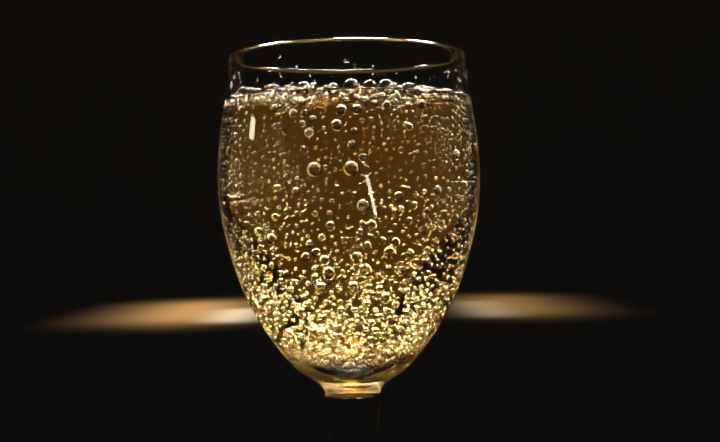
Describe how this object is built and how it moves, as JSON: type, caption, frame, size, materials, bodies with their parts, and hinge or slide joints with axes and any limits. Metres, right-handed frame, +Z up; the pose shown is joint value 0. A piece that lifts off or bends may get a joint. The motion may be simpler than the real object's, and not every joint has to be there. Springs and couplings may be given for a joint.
{
  "type": "glass of prosecco",
  "caption": "Stemmed wine glass nearly full of golden sparkling wine, with bubbles all through it and a ring of froth along the wall.",
  "frame": {"origin": "centre of the foot's underside, on the table", "axes": "+Z up along the stem, -Y towards the viewer, +X to the viewer's right"},
  "size_m": [0.0658, 0.0658, 0.152],
  "materials": {
    "clear_glass": "clear and polished",
    "prosecco": "clear golden liquid",
    "froth": "clear pale gold bubbles"
  },
  "bodies": {
    "root": {"glass": "clear_glass", "prosecco": "prosecco", "froth": "froth"}
  },
  "joints": []
}
